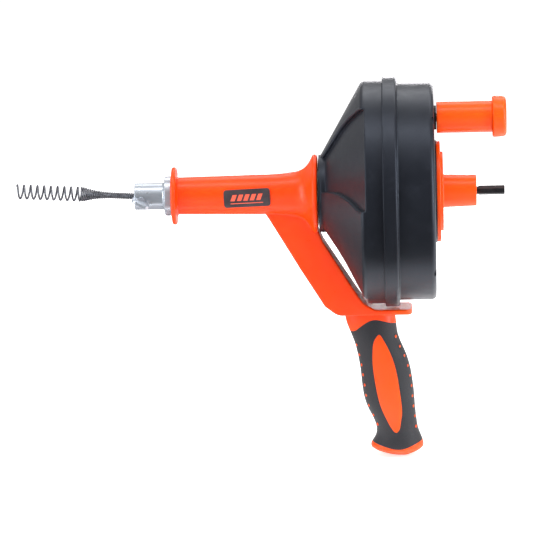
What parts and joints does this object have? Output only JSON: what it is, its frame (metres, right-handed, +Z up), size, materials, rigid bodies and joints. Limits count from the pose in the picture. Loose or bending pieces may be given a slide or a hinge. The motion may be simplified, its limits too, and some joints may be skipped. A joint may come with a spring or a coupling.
{
  "type": "drain snake machine",
  "caption": "Hand-held drain auger: an orange frame with a nose tube and pistol grip carries a spinning charcoal cable drum with a chuck, crank knob and hex drive shank.",
  "frame": {"origin": "centre of the hex drive shank's end face, on the spin axis", "axes": "+X along the spin axis from the cable towards the drive shank, +Z up from the grip towards the drum, -Y towards the side with the thumb screw and badge"},
  "size_m": [0.4753, 0.2208, 0.3724],
  "materials": {
    "orange_plastic": "satin moulded orange plastic",
    "drum_plastic": "satin charcoal moulded plastic",
    "grip_rubber": "soft dark grey over-mould",
    "badge": "plain dark label plate",
    "bushing_nylon": "natural nylon",
    "black_plastic": "black moulded plastic",
    "zinc_steel": "bright zinc plate",
    "cable_steel": "close-wound spring steel wire",
    "black_steel": "black oxide steel"
  },
  "bodies": {
    "frame": {"frame_body": "orange_plastic", "badge_plate": "badge", "front_bushing": "bushing_nylon", "rear_bushing": "bushing_nylon", "grip_core": "orange_plastic", "grip_rubber": "grip_rubber", "grip_washer": "zinc_steel", "grip_bolt": "zinc_steel"},
    "drum": {"drum_front_shell": "drum_plastic", "drum_rear_shell": "drum_plastic", "hub_plate": "orange_plastic", "drive_shank": "black_steel", "hub_screws": "black_steel", "spindle_screws": "black_steel", "spindle_tube": "zinc_steel", "chuck": "zinc_steel", "chuck_set_screw": "black_steel", "knob_collar": "black_plastic", "knob_bolt": "zinc_steel", "knob_nut": "zinc_steel", "cable_coil": "cable_steel", "cable_clip": "zinc_steel", "clip_screw": "zinc_steel"},
    "knob": {"knob_sleeve": "orange_plastic", "knob_cap": "orange_plastic"},
    "thumbscrew": {"thumb_screw": "zinc_steel"},
    "cable": {"cable_run": "cable_steel", "cable_flare": "cable_steel", "cable_head": "cable_steel"}
  },
  "joints": [
    {"name": "drum_spin", "type": "hinge", "parent": "frame", "child": "drum", "pos_m": [-0.19, 0, 0], "axis": [1, 0, 0], "continuous": true},
    {"name": "knob_spin", "type": "hinge", "parent": "drum", "child": "knob", "pos_m": [-0.035, 0, 0.072], "axis": [1, 0, 0], "continuous": true},
    {"name": "thumb_turn", "type": "hinge", "parent": "drum", "child": "thumbscrew", "pos_m": [-0.3502, 0, 0], "axis": [0, -0.9945, -0.1045], "range_deg": [0, 1080]},
    {"name": "cable_feed", "type": "slide", "parent": "drum", "child": "cable", "axis": [-1, 0, 0], "range_m": [-0.012, 0.14]}
  ]
}
